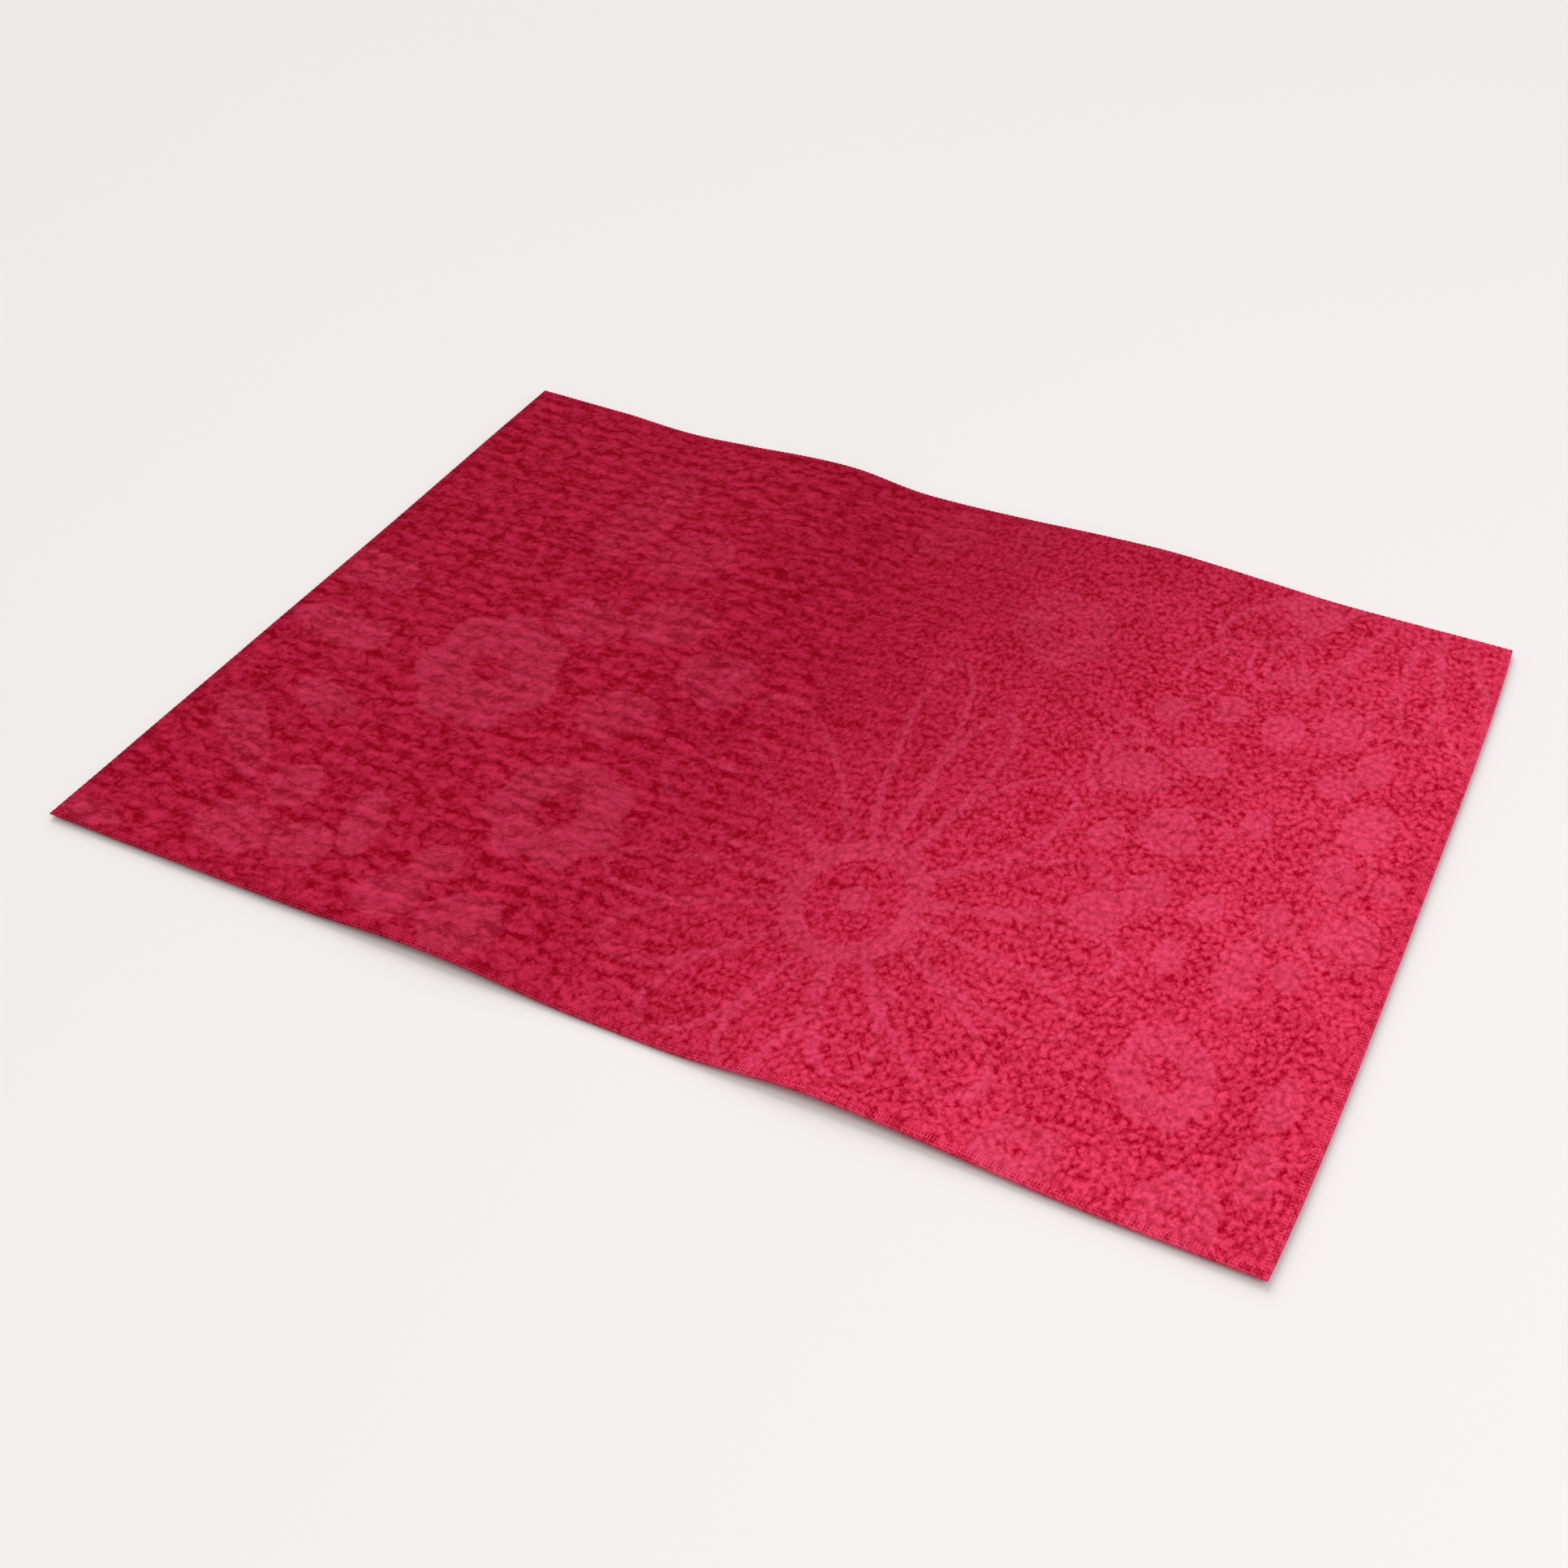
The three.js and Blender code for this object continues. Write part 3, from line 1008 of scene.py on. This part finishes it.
# Lift raises the tone. On the cut yarns this is painted light against the shade between them.
tone = maths(dyed, "MULTIPLY_ADD", inked, 0.06, maths(dyed, "ADD", face["Tone"], came["Lift"]))
pits = blend(dyed, share, PIT_DEEP, PIT_BRIGHT)
crowns = blend(dyed, share, CROWN_DEEP, CROWN_BRIGHT)
colour = blend(dyed, tone, pits, crowns)
pink = maths(dyed, "MAXIMUM", printed["Solid"], maths(dyed, "MULTIPLY", printed["Line"], 1.5))
# The print's pink follows the tone too, so it is painted darker in the pits and lighter on the crowns.
pink = maths(dyed, "MULTIPLY", pink, maths(dyed, "MULTIPLY_ADD", tone, 0.9, 0.6))
pink = blend(dyed, pink, BLACK, blend(dyed, share, PINK_DEEP, PINK_BRIGHT))
dyed.links.new(blend(dyed, 1.0, colour, pink, way="ADD"), goes["Color"])
dyed.links.new(face["Height"], goes["Height"])
dyed.links.new(face["Tone"], goes["Tone"])

# %% [markdown]
# ## The finishes
#
# Cotton is rough and nearly without gloss. What little sheen it has is the fuzz of the spun yarn, which is
# dyed too, so the sheen is red. Both finishes take their colour from the dye group, with its painted light
# and shade. The sheet's bump is the weave with its knuckles and ribs. The yarns' bump is the twist of their
# plies. Their colour is lifted a little above the sheet's, which is painted light against the shade that
# falls between the yarns, and their cut tips are paler.

# %% Finish helpers
COTTON = {
    "Specular IOR Level": 0.01,
    "Sheen Weight": 0.02,
    "Sheen Roughness": 0.5,
    "Sheen Tint": (1.0, 0.25, 0.35, 1),
}


def cotton_shader(tree, colour, roughness, normal):
    values = {"Base Color": colour, "Roughness": roughness, "Normal": normal, **COTTON}
    shader = put(tree, "ShaderNodeBsdfPrincipled", values)
    out = tree.nodes.new("ShaderNodeOutputMaterial")
    tree.links.new(shader.outputs[0], out.inputs[0])


def blank_material(name):
    material = bpy.data.materials.new(name)
    material.use_nodes = True
    material.node_tree.nodes.clear()
    return material, material.node_tree


# %% Printed cotton
WEAVE_BUMP = 0.16 * MM
printed_cotton, tree = blank_material("printed_cotton")
flat_map = put(tree, "ShaderNodeUVMap", uv_map=sheet.data.uv_layers[0].name).outputs[0]
from_middle = vectors(tree, "SUBTRACT", flat_map, (0.5, 0.5, 0.0))
place = vectors(tree, "MULTIPLY", from_middle, (2 * body_x / MM, 2 * body_y / MM, 0))
cloth = use_group(tree, dyed, Place=place)
bump = put(
    tree, "ShaderNodeBump", {"Height": cloth["Height"], "Distance": WEAVE_BUMP, "Strength": 0.8}
).outputs[0]
cotton_shader(tree, cloth["Color"], maths(tree, "MULTIPLY_ADD", cloth["Tone"], -0.12, 0.92), bump)
sheet.data.materials.append(printed_cotton)

# %% Cut yarn
PALE_TIP = (0.8, 0.36, 0.42, 1)
PLY_BUMP = 0.03 * MM
PLY_TURNS = (9 / MM, 9 / MM, 13 / MM)  # how the twist runs through a yarn, in radians per metre
cut_yarn, tree = blank_material("cut_yarn")
where = put(tree, "ShaderNodeTexCoord").outputs["Object"]
place = vectors(tree, "MULTIPLY", where, (1 / MM, 1 / MM, 0))
# Lift brightens the yarns' colour: painted light against the shade that falls between the yarns along the cut
# edge.
cloth = use_group(tree, dyed, Place=place, Marks=0.9, Lift=0.22)
ply = vectors(tree, "DOT_PRODUCT", where, PLY_TURNS)
ply = maths(tree, "MULTIPLY_ADD", maths(tree, "SINE", ply), 0.5, 0.5)
tip = put(tree, "ShaderNodeAttribute", attribute_name="cut_tip").outputs["Fac"]
colour = blend(tree, maths(tree, "MULTIPLY", tip, 0.5), cloth["Color"], PALE_TIP)
bump = put(tree, "ShaderNodeBump", {"Height": ply, "Distance": PLY_BUMP, "Strength": 0.5}).outputs[0]
cotton_shader(tree, colour, maths(tree, "MULTIPLY_ADD", ply, -0.08, 0.95), bump)
for piece in [*free_yarns.values(), *end_rows]:
    piece.data.materials.append(cut_yarn)
print("finishes:", printed_cotton.name, cut_yarn.name)

# %% [markdown]
# ## Tie the pieces to the frame
#
# The frame has one body, because nothing on a cloth turns or slides on its own. Every piece rides on it,
# and the sheet and the free yarns each take the place of their solid, which is hidden.

# %% Tie
for piece in [sheet, *free_yarns.values(), *end_rows]:
    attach(piece, "root")
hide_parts("woven_body")
for node, piece in free_yarns.items():
    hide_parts(node)

# %% [markdown]
# ## Table, light and camera
#
# The cloth lies on a plain pale table under soft light. A wide sun from the back left gives the thin
# shadow along the front edge, and an even white surrounding light fills the rest.

# %% Stage
TABLE_SIZE = 8
TABLE_BELOW = 0.04 * MM  # so that the cloth's underside and the table never share a plane
TABLE_COLOURS = ((0.915, 0.882, 0.874, 1), (0.926, 0.892, 0.884, 1))
bpy.ops.object.select_all(action="DESELECT")
bpy.ops.mesh.primitive_plane_add(size=TABLE_SIZE, location=(0, 0, 0))
table = start_piece("table")
edit(table)
bpy.ops.mesh.subdivide(number_cuts=4)
bpy.ops.transform.translate(value=(0, 0, -TABLE_BELOW))
finish_edit()
table_white, tree = blank_material("table_white")
where = put(tree, "ShaderNodeTexCoord").outputs["Object"]
colour = blend(tree, cloudy(tree, where, 3.0), *TABLE_COLOURS)
paint = {"Base Color": colour, "Roughness": 0.9, "Specular IOR Level": 0.1}
shader = put(tree, "ShaderNodeBsdfPrincipled", paint)
tree.links.new(shader.outputs[0], tree.nodes.new("ShaderNodeOutputMaterial").inputs[0])
table.data.materials.append(table_white)

# %% Light
ROOM_COLOUR, ROOM_LIGHT = (1.0, 0.995, 0.985, 1), 0.555
SUN_POWER, SUN_WIDTH, SUN_WAY = 2.3, math.radians(40), Vector((0.5, -0.75, -0.45))
SOFTBOX_POWER, SOFTBOX_SIZE, SOFTBOX_AT = 1.6, 0.8, (0.6, -0.2, 0.8)
world = bpy.data.worlds.new("studio")
bpy.context.scene.world = world
world.use_nodes = True
background = world.node_tree.nodes["Background"].inputs
background[0].default_value = ROOM_COLOUR
background[1].default_value = ROOM_LIGHT

sun_data = bpy.data.lights.new("back_left_window", "SUN")
sun_data.energy = SUN_POWER
sun_data.angle = SUN_WIDTH
sun = bpy.data.objects.new("back_left_window", sun_data)
bpy.context.collection.objects.link(sun)
sun.rotation_euler = SUN_WAY.to_track_quat("-Z", "Y").to_euler()

softbox_data = bpy.data.lights.new("front_right_softbox", "AREA")
softbox_data.energy = SOFTBOX_POWER
softbox_data.size = SOFTBOX_SIZE
softbox = bpy.data.objects.new("front_right_softbox", softbox_data)
bpy.context.collection.objects.link(softbox)
softbox.location = SOFTBOX_AT

# %% Camera
FILM_WIDE, LENS = 36, 47.3  # mm
EYE = Vector((0.1762, -0.3731, 0.3322))
AIM = Vector((0.0017, -0.0226, 0.0))
ROLL = math.radians(0.26)
camera_data = bpy.data.cameras.new("camera")
camera = bpy.data.objects.new("camera", camera_data)
bpy.context.collection.objects.link(camera)
camera_data.sensor_width = FILM_WIDE
camera_data.lens = LENS
camera_data.clip_start = 10 * MM
turn = (AIM - EYE).to_track_quat("-Z", "Y").to_matrix().to_4x4()
camera.matrix_world = Matrix.Translation(EYE) @ turn @ Matrix.Rotation(ROLL, 4, "Z")
bpy.context.scene.camera = camera
bpy.context.scene.view_settings.view_transform = "Standard"

# %% [markdown]
# ## Finish
#
# The cloth may pass the solids' box by a little, because its yarns are wavy and its cut ends ragged.

# %% Finish
bpy.context.view_layer.update()
